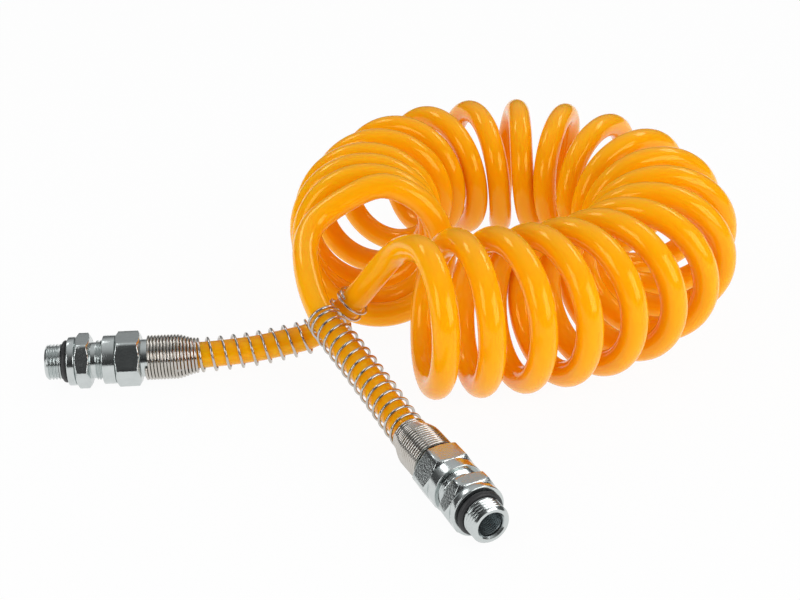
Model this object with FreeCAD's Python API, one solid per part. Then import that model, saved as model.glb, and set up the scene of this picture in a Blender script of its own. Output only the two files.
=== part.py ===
"""A coiled air hose with a screw fitting and a guard spring at each end, in millimetres.

The hose lies as it was photographed: a coil of 21 turns on the floor, with its axis curled
round like a question mark, one end leading to the left and the other to the front. Routes
are written about the point that the photograph is centred on, and every piece is moved at
the end, so that the origin is the middle of the bottom of the whole object.
"""
import FreeCAD
import Part
import math
import os

from FreeCAD import Vector

# Hose
HOSE_DIAMETER = 12.0
HOSE_WALL = 1.5
REST_FLAT_DEPTH = 0.5

# Coil: places along its curled axis, one for each two turns, and slow changes of the turns,
# one for each four turns
TURNS = 21
SAMPLES_PER_TURN = 4
AXIS_PLACES = [
    (6.5, -89.0), (43.0, -84.5), (77.5, -73.5), (110.0, -48.5), (127.0, -8.0), (121.0, 43.0),
    (88.5, 81.5), (43.5, 92.5), (1.5, 72.5), (-17.0, 22.5), (-14.0, -13.0), (-8.0, -39.0),
]
TURNS_PER_PLACE = 2.0
TURN_RADII = [31.7, 31.7, 32.5, 31.6, 30.3, 33.0, 33.8]
TURN_YAWS = [12.0, 11.0, 0.0, 5.0, 6.0, -10.0, -6.0]
TURN_TILTS = [5.0, 3.0, -5.0, 4.0, 2.0, -12.0, -1.0]
TURNS_PER_CHANGE = 4.0

# Ends of the hose, from the coil outwards: points where it unwinds, the last two a straight
# stretch as long as the hose is thick, and then the points of the free stretch
LEFT_UNWINDING = [
    (-1.0, -68.5, 60.5), (-12.5, -65.0, 44.0), (-25.0, -62.5, 26.5), (-39.5, -65.5, 15.0),
    (-51.5, -68.3, 13.4),
]
LEFT_FREE = [(-66.5, -71.8, 11.4)]
FRONT_UNWINDING = [
    (-38.5, -27.0, 58.5), (-44.5, -39.0, 51.0), (-43.0, -55.5, 45.0), (-39.5, -69.0, 38.0),
    (-33.4, -81.8, 30.8), (-27.2, -91.5, 27.6),
]
FRONT_FREE = [(-17.9, -106.05, 22.8), (-7.2, -122.5, 16.2)]

# Fittings: middle of each end face, seen from above, and the way that it points
LEFT_FACE = (-158.9, -83.2)
LEFT_HEADING = 185.4
FRONT_FACE = (33.9, -204.8)
FRONT_HEADING = 295.9

# Stud that screws into the air port
STUD_THREAD_DIAMETER = 16.0
STUD_LENGTH = 10.0
STUD_CHAMFER = 0.8
MOUTH_DIAMETER = 10.2
MOUTH_DEPTH = 13.0
SEAL_SECTION = 2.6
SEAL_GROOVE_DEPTH = 1.1
THRUST_RING_DIAMETER = 22.0
THRUST_RING_WIDTH = 3.4
SOCKET_DEPTH = 16.8
CONE_HALF_ANGLE = 12.0
CONE_MOUTH_WALL = 1.0
HEX_ACROSS_FLATS = 22.0
HEX_FACE_SHARE = 0.95
HEX_CHAMFER_ANGLE = 30.0
STUD_HEX_WIDTH = 6.6
NECK_THREAD_DIAMETER = 18.0
NECK_RELIEF_DEPTH = 0.8
NECK_RELIEF_WIDTH = 2.3
NECK_EXPOSED = 5.5
NECK_HIDDEN = 8.5
THREAD_RUNOUT = 0.6

# Union nut
NUT_COLLAR_DIAMETER = 22.0
NUT_COLLAR_WIDTH = 5.5
NUT_HEX_WIDTH = 11.2
NUT_THREAD_DEPTH = 10.2
NUT_LIP = 1.8
SPIGOT_LENGTH = 13.0
EDGE_CHAMFER = 0.5

# Rings and sleeve hidden in the nut
CUTTING_RING_EDGE_DEPTH = 2.4
SLEEVE_WALL = 0.8
SLEEVE_LENGTH = 13.0
SLEEVE_FLANGE_STEP = 0.9
SLEEVE_FLANGE_WIDTH = 0.8

# Play between pieces
THREAD_PLAY = 0.1
SEAT_PLAY = 0.1
HOSE_PLAY = 0.3
FLANGE_PLAY = 0.5
HEAD_PLAY = 0.4
CURL_PLAY = 0.8

# Guard spring
SPRING_WIRE = 1.3
SPRING_HEAD_DIAMETER = 20.4
SPRING_HEAD_CURLS = 12.0
SPRING_STRAIGHT_CURLS = 7.0
SPRING_HEAD_PITCH = 1.9
SPRING_OPEN_CURLS = 13.0
SPRING_OPEN_PITCH = 6.0
SPRING_CLEARANCE = 3.0

# Middle of the object's bottom, in the photograph's own axes
MIDDLE_X = 3.2
MIDDLE_Y = -39.5

# How routes are measured and joined
ARC_SHARE = 0.45
MEASURE_STEP = 1.0
TANGENT_STEP = 0.001
STRAIGHT_OFFSET = 1e-6
PARALLEL_SPREAD = 1e-9
LOOPS_COMPARED = 2.5
CUT_OVERSHOOT = 1.0

HOSE_RADIUS = HOSE_DIAMETER / 2
BORE_RADIUS = HOSE_RADIUS - HOSE_WALL
AXIS_HEIGHT = HEX_ACROSS_FLATS / 2
NECK_RADIUS = NECK_THREAD_DIAMETER / 2
SOCKET_RADIUS = HOSE_RADIUS + SEAT_PLAY
CONE_SLOPE = math.tan(math.radians(CONE_HALF_ANGLE))
CONE_MOUTH_RADIUS = NECK_RADIUS - CONE_MOUTH_WALL
CONE_LENGTH = (CONE_MOUTH_RADIUS - SOCKET_RADIUS) / CONE_SLOPE
RING_START = STUD_LENGTH
STUD_HEX_START = RING_START + THRUST_RING_WIDTH
NECK_START = STUD_HEX_START + STUD_HEX_WIDTH
NUT_START = NECK_START + NECK_EXPOSED
NECK_END = NUT_START + NECK_HIDDEN
CONE_START = NECK_END - CONE_LENGTH
NUT_THREAD_RADIUS = NECK_RADIUS + THREAD_PLAY
NUT_BORE_RADIUS = HOSE_RADIUS + HOSE_PLAY
NUT_SEAT_START = NUT_START + NUT_THREAD_DEPTH
SPIGOT_RADIUS = SPRING_HEAD_DIAMETER / 2 - SPRING_WIRE - HEAD_PLAY
NUT_HEX_START = NUT_START + NUT_COLLAR_WIDTH
NUT_HEX_END = NUT_HEX_START + NUT_HEX_WIDTH
SPRING_START = NUT_HEX_END + NUT_LIP
SPRING_HEAD_END = SPRING_START + SPRING_HEAD_CURLS * SPRING_HEAD_PITCH
HOSE_END = SOCKET_DEPTH + SEAT_PLAY + SLEEVE_FLANGE_WIDTH
BEND_START = SPRING_HEAD_END + SPRING_CLEARANCE
SPRING_OPEN_DIAMETER = HOSE_DIAMETER + 2 * (SPRING_WIRE + CURL_PLAY)

MIDDLE = Vector(MIDDLE_X, MIDDLE_Y, 0)


def eased(values, spacing, turn):
    """A value between evenly spaced ones, with no corner where it passes them."""
    index = min(max(int(turn / spacing), 0), len(values) - 2)
    part = turn / spacing - index
    before, after = values[index], values[index + 1]
    last = len(values) - 1
    slope_before = (after - values[index - 1]) / 2 if index > 0 else after - before
    slope_after = (values[index + 2] - before) / 2 if index + 1 < last else after - before
    return (
        (2 * part**3 - 3 * part**2 + 1) * before
        + (part**3 - 2 * part**2 + part) * slope_before
        + (3 * part**2 - 2 * part**3) * after
        + (part**3 - part**2) * slope_after
    )


def axis_place(turn):
    """The point of the coil's axis at a turn, seen from above."""
    return Vector(
        eased([place[0] for place in AXIS_PLACES], TURNS_PER_PLACE, turn),
        eased([place[1] for place in AXIS_PLACES], TURNS_PER_PLACE, turn),
        0,
    )


def coil_point(turn):
    """The middle of the hose at a turn of the coil, with each turn resting on the floor."""
    radius = eased(TURN_RADII, TURNS_PER_CHANGE, turn)
    yaw = math.radians(eased(TURN_YAWS, TURNS_PER_CHANGE, turn))
    tilt = math.radians(eased(TURN_TILTS, TURNS_PER_CHANGE, turn))
    step = axis_place(turn + TANGENT_STEP) - axis_place(turn - TANGENT_STEP)
    along = step.normalize()
    outwards = Vector(along.y, -along.x, 0)
    sideways = outwards * math.cos(yaw) + along * math.sin(yaw)
    swing = math.sin(2 * math.pi * turn)
    lift = math.cos(2 * math.pi * turn)
    height = HOSE_RADIUS - REST_FLAT_DEPTH + radius * math.cos(tilt) * (1 + lift)
    spot = axis_place(turn) + sideways * (radius * swing) + along * (radius * lift * math.sin(tilt))
    return spot + Vector(0, 0, height)


def heading_of(place, turn):
    """The unit heading of a route, given as a function of the turn."""
    return (place(turn + TANGENT_STEP) - place(turn - TANGENT_STEP)).normalize()


def arc_edge(start, heading, end):
    """An arc, or a line where it is straight, that leaves start along heading and ends at end."""
    chord = end - start
    side = heading - chord * (heading.dot(chord) / chord.dot(chord))
    if side.Length < STRAIGHT_OFFSET:
        return Part.LineSegment(start, end).toShape()
    turn = heading.getAngle(chord)
    middle = start + chord * 0.5 + side.normalize() * (chord.Length / 2 * math.tan(turn / 2))
    return Part.Arc(start, middle, end).toShape()


def biarc_edges(start, first_heading, end, last_heading):
    """Two arcs that leave start and reach end along the given headings and join smoothly."""
    chord = end - start
    both = first_heading + last_heading
    spread = 2 * (1 - first_heading.dot(last_heading))
    if spread < PARALLEL_SPREAD:
        reach = chord.dot(chord) / (2 * chord.dot(both))
    else:
        pull = chord.dot(both)
        reach = (math.sqrt(pull**2 + spread * chord.dot(chord)) - pull) / spread
    joint = (start + end + (first_heading - last_heading) * reach) * 0.5
    joint_heading = (end - start - both * reach).normalize()
    return [arc_edge(start, first_heading, joint), arc_edge(joint, joint_heading, end)]


def smooth_edges(points, headings):
    """Biarcs through all the points along their headings."""
    edges = []
    for index in range(len(points) - 1):
        edges += biarc_edges(points[index], headings[index], points[index + 1], headings[index + 1])
    return edges


def rounded_edges(points, name):
    """Straight runs joined by the largest tangent arcs that they leave room for."""
    edges = []
    radii = []
    here = points[0]
    for before, corner, after in zip(points, points[1:], points[2:]):
        back = before - corner
        forth = after - corner
        reach = ARC_SHARE * min(back.Length, forth.Length)
        half_turn = (math.pi - back.getAngle(forth)) / 2
        radii.append(reach / math.tan(half_turn))
        arc_start = corner + back.normalize() * reach
        arc_end = corner + forth.normalize() * reach
        edges.append(Part.LineSegment(here, arc_start).toShape())
        edges.append(arc_edge(arc_start, (corner - arc_start).normalize(), arc_end))
        here = arc_end
    edges.append(Part.LineSegment(here, points[-1]).toShape())
    print(name, "radii", [round(radius) for radius in radii])
    return edges


def swept(edges, radius):
    """A round bar of the given radius along edges that follow each other."""
    path = Part.Wire(edges)
    start = edges[0].valueAt(edges[0].FirstParameter)
    heading = edges[0].tangentAt(edges[0].FirstParameter)
    section = Part.Wire(Part.makeCircle(radius, start, heading))
    return path.makePipeShell([section], True, False)


def measured(edges, step):
    """Points along the edges, about a step apart."""
    points = []
    for edge in edges:
        count = max(2, int(edge.Length / step) + 1)
        points += edge.discretize(count)[:-1]
    points.append(edges[-1].valueAt(edges[-1].LastParameter))
    return points


def least_gap(edges, diameter, step, loop_length):
    """The least gap of a wound tube to itself, between places over half a loop apart."""
    points = measured(edges, step)
    apart = int(loop_length / 2 / step)
    farthest = int(loop_length * LOOPS_COMPARED / step)
    best = min(
        (points[index] - other).Length
        for index in range(len(points) - apart)
        for other in points[index + apart:index + farthest]
    )
    return best - diameter


class Course:
    """A run of close points that gives the place and heading at a distance along it."""

    def __init__(self, points):
        self.points = points
        self.distances = [0.0]
        for before, after in zip(points, points[1:]):
            self.distances.append(self.distances[-1] + (after - before).Length)

    def place(self, distance):
        """The point at a distance along the course."""
        index = 0
        while index < len(self.points) - 2 and self.distances[index + 1] < distance:
            index += 1
        run = self.distances[index + 1] - self.distances[index]
        share = (distance - self.distances[index]) / run
        return self.points[index] * (1 - share) + self.points[index + 1] * share

    def heading(self, distance):
        """The unit heading at a distance, evened out over a few points."""
        return (self.place(distance + MEASURE_STEP) - self.place(distance - MEASURE_STEP)).normalize()


class Side:
    """One end of the hose: its fitting's place, and the routes of its unwinding and free parts."""

    def __init__(self, name, face, heading, unwinding, free, coil_end, sense):
        self.name = name
        self.face = Vector(face[0], face[1], AXIS_HEIGHT)
        angle = math.radians(heading)
        self.outwards = Vector(math.cos(angle), math.sin(angle), 0)
        self.angle_inwards = heading - 180
        self.unwinding = [Vector(*point) for point in unwinding]
        self.coil_end = coil_point(coil_end)
        self.coil_heading = heading_of(coil_point, coil_end) * sense
        free_points = [Vector(*point) for point in free]
        self.free = [self.unwinding[-1]] + free_points + [self.inside(BEND_START), self.inside(HOSE_END)]

    def inside(self, depth):
        """The point on the fitting's axis at a depth behind its end face."""
        return self.face - self.outwards * depth

    def unwinding_route(self):
        """Points past the coil's last turn, and the headings there, outwards."""
        points = [self.coil_end] + self.unwinding
        headings = [(after - before).normalize() for before, after in zip(points, points[2:])]
        straight = (points[-1] - points[-2]).normalize()
        return self.unwinding, headings[:-1] + [straight, straight]

    def placed(self, shape):
        """A fitting's piece, made along the X axis, moved to this end of the hose."""
        turn = FreeCAD.Rotation(Vector(0, 0, 1), self.angle_inwards)
        shape.Placement = FreeCAD.Placement(self.face, turn)
        return shape


def revolved(profile):
    """A solid turned round the X axis from (distance, radius) corners."""
    corners = [Vector(along, 0, radius) for along, radius in profile]
    face = Part.Face(Part.makePolygon(corners + corners[:1]))
    return face.revolve(Vector(0, 0, 0), Vector(1, 0, 0), 360)


def hexagon(start, width):
    """A chamfered hexagon bar along X that lies on one of its flats."""
    corner_radius = HEX_ACROSS_FLATS / math.sqrt(3)
    corners = [
        Vector(start, corner_radius * math.cos(math.radians(60 * side)),
               corner_radius * math.sin(math.radians(60 * side)))
        for side in range(6)
    ]
    prism = Part.Face(Part.makePolygon(corners + corners[:1])).extrude(Vector(width, 0, 0))
    face_radius = HEX_FACE_SHARE * HEX_ACROSS_FLATS / 2
    slope = (corner_radius - face_radius) * math.tan(math.radians(HEX_CHAMFER_ANGLE))
    barrel = revolved([
        (start, 0), (start, face_radius), (start + slope, corner_radius),
        (start + width - slope, corner_radius), (start + width, face_radius), (start + width, 0),
    ])
    return prism.common(barrel)


def stud_body():
    """The stud: port thread, seal groove, hexagon and the neck that the nut screws on."""
    thread = STUD_THREAD_DIAMETER / 2
    groove = thread - SEAL_GROOVE_DEPTH
    relief = NECK_RADIUS - NECK_RELIEF_DEPTH
    relief_end = NECK_START + NECK_RELIEF_WIDTH
    groove_start = STUD_LENGTH - SEAL_SECTION
    outside = revolved([
        (0, 0), (0, thread - STUD_CHAMFER), (STUD_CHAMFER, thread),
        (groove_start - THREAD_RUNOUT, thread), (groove_start, groove), (STUD_LENGTH, groove),
        (STUD_LENGTH, thread), (STUD_HEX_START, thread), (NECK_START, relief), (relief_end, relief),
        (relief_end + THREAD_RUNOUT, NECK_RADIUS), (NECK_END - THREAD_RUNOUT, NECK_RADIUS),
        (NECK_END, NECK_RADIUS - THREAD_RUNOUT), (NECK_END, 0),
    ])
    mouth = MOUTH_DIAMETER / 2
    past = NECK_END + CUT_OVERSHOOT
    inside = revolved([
        (-CUT_OVERSHOOT, 0), (-CUT_OVERSHOOT, mouth), (MOUTH_DEPTH, mouth),
        (MOUTH_DEPTH, BORE_RADIUS), (SOCKET_DEPTH, BORE_RADIUS), (SOCKET_DEPTH, SOCKET_RADIUS),
        (CONE_START, SOCKET_RADIUS), (NECK_END, CONE_MOUTH_RADIUS), (past, CONE_MOUTH_RADIUS),
        (past, 0),
    ])
    return outside.fuse(hexagon(STUD_HEX_START, STUD_HEX_WIDTH)).cut(inside).removeSplitter()


def thrust_ring():
    """The plain ring that backs the seal against the hexagon."""
    inner = STUD_THREAD_DIAMETER / 2
    outer = THRUST_RING_DIAMETER / 2
    return revolved([
        (RING_START, inner), (RING_START, outer - EDGE_CHAMFER), (RING_START + EDGE_CHAMFER, outer),
        (STUD_HEX_START - EDGE_CHAMFER, outer), (STUD_HEX_START, outer - EDGE_CHAMFER),
        (STUD_HEX_START, inner),
    ])


def seal_ring():
    """The rubber ring in the groove of the stud."""
    middle = STUD_THREAD_DIAMETER / 2 - SEAL_GROOVE_DEPTH + SEAL_SECTION / 2
    centre = Vector(STUD_LENGTH - SEAL_SECTION / 2, 0, 0)
    return Part.makeTorus(middle, SEAL_SECTION / 2, centre, Vector(1, 0, 0))


def union_nut():
    """The nut: round collar, hexagon, and the spigot that the guard spring sits round."""
    collar = NUT_COLLAR_DIAMETER / 2
    spigot_end = SPRING_START + SPIGOT_LENGTH
    outside = revolved([
        (NUT_START, 0), (NUT_START, collar - EDGE_CHAMFER), (NUT_START + EDGE_CHAMFER, collar),
        (NUT_HEX_START, collar), (NUT_HEX_END, SPIGOT_RADIUS),
        (spigot_end - EDGE_CHAMFER, SPIGOT_RADIUS), (spigot_end, SPIGOT_RADIUS - EDGE_CHAMFER),
        (spigot_end, 0),
    ])
    before = NUT_START - CUT_OVERSHOOT
    past = spigot_end + CUT_OVERSHOOT
    bore_start = NUT_SEAT_START + NUT_THREAD_RADIUS - NUT_BORE_RADIUS
    inside = revolved([
        (before, 0), (before, NUT_THREAD_RADIUS), (NUT_SEAT_START, NUT_THREAD_RADIUS),
        (bore_start, NUT_BORE_RADIUS), (past, NUT_BORE_RADIUS), (past, 0),
    ])
    return outside.fuse(hexagon(NUT_HEX_START, NUT_HEX_WIDTH)).cut(inside).removeSplitter()


def cutting_ring():
    """The ring that the nut drives into the stud's cone and onto the hose."""
    start = CONE_START + CUTTING_RING_EDGE_DEPTH
    flange_start = NECK_END + SEAT_PLAY * 2
    flange = NUT_THREAD_RADIUS - FLANGE_PLAY
    seat = NUT_SEAT_START + NUT_THREAD_RADIUS - SEAT_PLAY * 2
    end = seat - NUT_BORE_RADIUS
    return revolved([
        (start, HOSE_RADIUS), (start, HOSE_RADIUS + CUTTING_RING_EDGE_DEPTH * CONE_SLOPE),
        (flange_start, HOSE_RADIUS + (flange_start - CONE_START) * CONE_SLOPE),
        (flange_start, flange), (seat - flange, flange), (end, NUT_BORE_RADIUS), (end, HOSE_RADIUS),
    ])


def support_sleeve():
    """The thin sleeve that keeps the hose round under the cutting ring."""
    start = HOSE_END - SLEEVE_FLANGE_WIDTH
    inner = BORE_RADIUS - SLEEVE_WALL
    flange = BORE_RADIUS + SLEEVE_FLANGE_STEP
    end = HOSE_END + SLEEVE_LENGTH
    return revolved([
        (start, inner), (start, flange), (HOSE_END, flange), (HOSE_END, BORE_RADIUS),
        (end, BORE_RADIUS), (end, inner),
    ])


def spring_station(curl):
    """How far behind the fitting's face a curl is, and its radius there."""
    head = min(curl, SPRING_HEAD_CURLS)
    opened = max(curl - SPRING_HEAD_CURLS, 0.0)
    first = SPRING_START + SPRING_WIRE / 2
    distance = first + head * SPRING_HEAD_PITCH
    ramp = min(opened, 1.0)
    distance += ramp * SPRING_HEAD_PITCH
    distance += (ramp**2 / 2 + max(opened - 1.0, 0.0)) * (SPRING_OPEN_PITCH - SPRING_HEAD_PITCH)
    distance += max(opened - 1.0, 0.0) * SPRING_HEAD_PITCH
    taper = (head - SPRING_STRAIGHT_CURLS) / (SPRING_HEAD_CURLS - SPRING_STRAIGHT_CURLS)
    share = min(max(taper, 0.0), 1.0)
    narrowing = share**2 * (3 - 2 * share) * (SPRING_HEAD_DIAMETER - SPRING_OPEN_DIAMETER) / 2
    return distance, (SPRING_HEAD_DIAMETER - SPRING_WIRE) / 2 - narrowing


def spring_edges(course):
    """The wire's middle line, wound right-handed round the hose, with a short straight end."""
    def place(curl):
        distance, radius = spring_station(curl)
        along = course.heading(distance - HOSE_END)
        sideways = along.cross(Vector(0, 0, 1)).normalize()
        upwards = sideways.cross(along)
        angle = -2 * math.pi * curl
        arm = sideways * math.cos(angle) + upwards * math.sin(angle)
        return course.place(distance - HOSE_END) + arm * radius

    count = int((SPRING_HEAD_CURLS + SPRING_OPEN_CURLS) * SAMPLES_PER_TURN)
    curls = [index / SAMPLES_PER_TURN for index in range(count + 1)]
    points = [place(curl) for curl in curls]
    headings = [heading_of(place, curl) for curl in curls]
    first = points[0] - headings[0] * SPRING_WIRE
    last = points[-1] + headings[-1] * SPRING_WIRE
    return (
        [Part.LineSegment(first, points[0]).toShape()]
        + smooth_edges(points, headings)
        + [Part.LineSegment(points[-1], last).toShape()]
    )


def hose_coil(left, front):
    """The wound part of the hose, between its two straight stretches, flat where it rests."""
    left_points, left_headings = left.unwinding_route()
    front_points, front_headings = front.unwinding_route()
    turns = [index / SAMPLES_PER_TURN for index in range(TURNS * SAMPLES_PER_TURN + 1)]
    points = left_points[::-1] + [coil_point(turn) for turn in turns] + front_points
    headings = [heading * -1 for heading in reversed(left_headings)]
    headings += [heading_of(coil_point, turn) for turn in turns] + front_headings
    edges = smooth_edges(points, headings)
    loop = 2 * math.pi * min(TURN_RADII)
    print("hose_coil least gap", round(least_gap(edges, HOSE_DIAMETER, 2 * MEASURE_STEP, loop), 2))
    solid = swept(edges, HOSE_RADIUS)
    print_volume("hose_coil", solid, edges)
    box = solid.BoundBox
    corner = Vector(box.XMin - HOSE_RADIUS, box.YMin - HOSE_RADIUS, -HOSE_DIAMETER)
    floor = Part.makeBox(
        box.XLength + HOSE_DIAMETER, box.YLength + HOSE_DIAMETER, HOSE_DIAMETER, corner
    )
    return solid.cut(floor).cut(swept(edges, BORE_RADIUS))


def hose_tail(side):
    """The free stretch of the hose, with its bore, from the coil to the stud's socket."""
    edges = rounded_edges(side.free, side.name + "_hose_tail")
    solid = swept(edges, HOSE_RADIUS)
    print_volume(side.name + "_hose_tail", solid, edges)
    return solid.cut(swept(edges, BORE_RADIUS))


def guard_spring(side):
    """The spring: a close-wound head on the nut's spigot, then open curls round the hose."""
    edges = rounded_edges(side.free[::-1], side.name + "_guard_spring course")
    points, headings = side.unwinding_route()
    points = points[::-1] + [side.coil_end]
    headings = [heading * -1 for heading in reversed(headings)] + [side.coil_heading * -1]
    course = Course(measured(edges + smooth_edges(points, headings), MEASURE_STEP))
    wire = spring_edges(course)
    loop = math.pi * SPRING_OPEN_DIAMETER
    gap = least_gap(wire, SPRING_WIRE, MEASURE_STEP / 2, loop)
    print(side.name + "_guard_spring least gap", round(gap, 2))
    return swept(wire, SPRING_WIRE / 2)


def print_volume(name, solid, edges):
    """Prints the length of a round bar as thick as the hose, and its volume over the ideal."""
    length = sum(edge.Length for edge in edges)
    share = solid.Volume / (math.pi * HOSE_RADIUS**2 * length)
    print(name, "length", round(length), "volume share", round(share, 4))


def main():
    left = Side("left", LEFT_FACE, LEFT_HEADING, LEFT_UNWINDING, LEFT_FREE, 0, -1)
    front = Side("front", FRONT_FACE, FRONT_HEADING, FRONT_UNWINDING, FRONT_FREE, TURNS, 1)
    pieces = {"hose_coil": hose_coil(left, front)}
    for side in (left, front):
        pieces[side.name + "_hose_tail"] = hose_tail(side)
        pieces[side.name + "_guard_spring"] = guard_spring(side)
        for make in (stud_body, thrust_ring, seal_ring, union_nut, cutting_ring, support_sleeve):
            pieces[side.name + "_" + make.__name__] = side.placed(make())
    os.makedirs("parts", exist_ok=True)
    whole = FreeCAD.BoundBox()
    for name, piece in pieces.items():
        piece.translate(MIDDLE * -1)
        whole.add(piece.optimalBoundingBox(False))
        state = ["valid", piece.isValid(), "solids", len(piece.Solids), "volume", round(piece.Volume)]
        print(name, *state)
        piece.exportStep(os.path.join("parts", name + ".step"))
    print("box", whole)


main()
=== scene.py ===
"""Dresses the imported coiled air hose: the hose as one free cord, threaded studs, guard springs.

Lengths are written in millimetres in the photograph's own axes, as in the part's source, and
the last step of each builder moves them to the row's origin and to metres.
"""
from __future__ import annotations

import logging
import math
from dataclasses import dataclass, field
from enum import Enum
from typing import NamedTuple, Sequence

import bpy
import numpy as np
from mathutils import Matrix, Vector

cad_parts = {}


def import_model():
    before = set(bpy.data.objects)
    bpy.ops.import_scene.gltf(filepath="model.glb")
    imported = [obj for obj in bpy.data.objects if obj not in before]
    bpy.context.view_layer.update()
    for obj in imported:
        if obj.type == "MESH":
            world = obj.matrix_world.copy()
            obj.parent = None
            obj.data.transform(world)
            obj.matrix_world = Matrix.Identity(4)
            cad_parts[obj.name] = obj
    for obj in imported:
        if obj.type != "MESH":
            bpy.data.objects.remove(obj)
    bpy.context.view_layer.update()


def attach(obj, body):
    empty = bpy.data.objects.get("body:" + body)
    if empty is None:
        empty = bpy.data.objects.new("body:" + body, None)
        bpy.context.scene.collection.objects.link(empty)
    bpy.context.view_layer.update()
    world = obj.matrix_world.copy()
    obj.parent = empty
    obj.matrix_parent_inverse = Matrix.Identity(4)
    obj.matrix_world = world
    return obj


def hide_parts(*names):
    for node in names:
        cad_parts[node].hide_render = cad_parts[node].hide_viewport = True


LOG = logging.getLogger("air_hose")

Color = tuple[float, float, float]
Places = tuple[tuple[float, ...], ...]

MM = 0.001
# The row's origin in the photograph's axes, and how high both fittings' axes lie
MIDDLE = np.array([3.2, -39.5, 0.0])
AXIS_HEIGHT = 11.0
FULL_TURN = 2.0 * math.pi
# The small step, in turns, that gives a line's direction
NUDGE = 0.001
UV_PER_MM = 0.25
WHITE = (1.0, 1.0, 1.0, 1.0)
UP = np.array([0.0, 0.0, 1.0])


def to_row(points: np.ndarray) -> np.ndarray:
    """Millimetres in the photograph's axes to metres in the row's frame.

    Args:
        points: Points or one point, the last axis being x, y and z.

    Returns:
        The same points in the row's frame.
    """
    return (np.asarray(points, float) - MIDDLE) * MM


def unit(vectors: np.ndarray) -> np.ndarray:
    """Vectors scaled to length one."""
    return vectors / np.linalg.norm(vectors, axis=1, keepdims=True)


def add_object(name: str, data: bpy.types.ID) -> bpy.types.Object:
    """Makes an object and links it to the scene.

    Args:
        name: Its name.
        data: Its mesh, curve, light or camera.

    Returns:
        The object.
    """
    made = bpy.data.objects.new(name, data)
    bpy.context.scene.collection.objects.link(made)
    return made


class Body(Enum):
    """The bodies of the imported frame."""

    HOSE = "hose"
    LEFT_NUT = "left_nut"
    LEFT_STUD = "left_stud"
    FRONT_NUT = "front_nut"
    FRONT_STUD = "front_stud"


class Slot(Enum):
    """The record's material slots."""

    HOSE = "hose"
    ZINC = "zinc_steel"
    SPRING = "spring_steel"
    RUBBER = "seal_rubber"
    BRASS = "brass"


# Shader maths


class Signal:
    """A shader socket that Python arithmetic joins with Math nodes."""

    def __init__(self, tree: Tree, socket: bpy.types.NodeSocket) -> None:
        """Keeps the socket and the tree that it belongs to."""
        self.tree = tree
        self.socket = socket

    def _math(self, operation: str, *values: Signal | float) -> Signal:
        """One Math node with the given operation on the values."""
        return self.tree.node("ShaderNodeMath", {"operation": operation}, dict(enumerate(values)))

    def __add__(self, other: Signal | float) -> Signal:
        """Sum."""
        return self._math("ADD", self, other)

    __radd__ = __add__

    def __sub__(self, other: Signal | float) -> Signal:
        """Difference."""
        return self._math("SUBTRACT", self, other)

    def __rsub__(self, other: float) -> Signal:
        """Difference from a number."""
        return self._math("SUBTRACT", other, self)

    def __mul__(self, other: Signal | float) -> Signal:
        """Product."""
        return self._math("MULTIPLY", self, other)

    __rmul__ = __mul__


class Tree:
    """A node tree that nodes are added to."""

    def __init__(self, tree: bpy.types.NodeTree) -> None:
        """Wraps the tree."""
        self.tree = tree

    def node(
        self, kind: str, settings: dict[str, object] | None = None,
        inputs: dict[int | str, object] | None = None, output: int | str = 0,
    ) -> Signal:
        """Adds a node.

        Args:
            kind: The node's Blender type.
            settings: Properties set before the sockets, such as a Math node's operation; "stops"
                holds a colour ramp's places and colours.
            inputs: Values or signals of its sockets.
            output: Which output to return.

        Returns:
            The chosen output as a signal.
        """
        made = self.tree.nodes.new(kind)
        for name, value in (settings or {}).items():
            if name == "stops":
                self._set_stops(made, value)
            else:
                setattr(made, name, value)
        for key, value in (inputs or {}).items():
            self.feed(made.inputs[key], value)
        return Signal(self, made.outputs[output])

    def feed(self, socket: bpy.types.NodeSocket, value: object) -> None:
        """Gives a socket its input.

        Args:
            socket: The socket.
            value: A signal, which is linked to it, or the socket's own value.
        """
        if isinstance(value, Signal):
            self.tree.links.new(value.socket, socket)
        else:
            socket.default_value = value

    @staticmethod
    def _set_stops(ramp: bpy.types.Node, stops: Sequence[tuple[float, tuple]]) -> None:
        """Gives a colour ramp its stops.

        Args:
            ramp: The Color Ramp node.
            stops: Places and colours, in order.
        """
        elements = ramp.color_ramp.elements
        for place, _ in stops[len(elements):]:
            elements.new(place)
        for element, (place, color) in zip(elements, stops):
            element.position = place
            element.color = color

    def coordinates(self, kind: str) -> Signal:
        """Texture coordinates of one kind, such as Object."""
        return self.node("ShaderNodeTexCoord", output=kind)

    def attribute(self, name: str) -> Signal:
        """A number that the mesh carries."""
        return self.node("ShaderNodeAttribute", {"attribute_name": name}, output="Fac")

    def noise(self, place: Signal, grain: Grain) -> Signal:
        """Smooth noise at a place."""
        inputs = {"Vector": place, "Scale": grain.scale, "Detail": grain.detail}
        return self.node("ShaderNodeTexNoise", inputs=inputs)

    def stretched(self, place: Signal, scale: tuple[float, ...]) -> Signal:
        """A place scaled along each axis."""
        return self.node("ShaderNodeMapping", inputs={"Vector": place, "Scale": scale})

    def mixed(self, share: Signal, *colors: Signal | Sequence[float]) -> Signal:
        """The first colour blended to the second by a share."""
        first, second = (c if isinstance(c, Signal) else (*c, 1.0) for c in colors)
        return self.node("ShaderNodeMix", {"data_type": "RGBA"}, {0: share, 6: first, 7: second}, 2)

    def bump(self, height: Signal, relief: Relief) -> Signal:
        """The normal of a surface with a height."""
        inputs = {"Strength": relief.strength, "Distance": relief.distance, "Height": height}
        return self.node("ShaderNodeBump", inputs=inputs)


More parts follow.
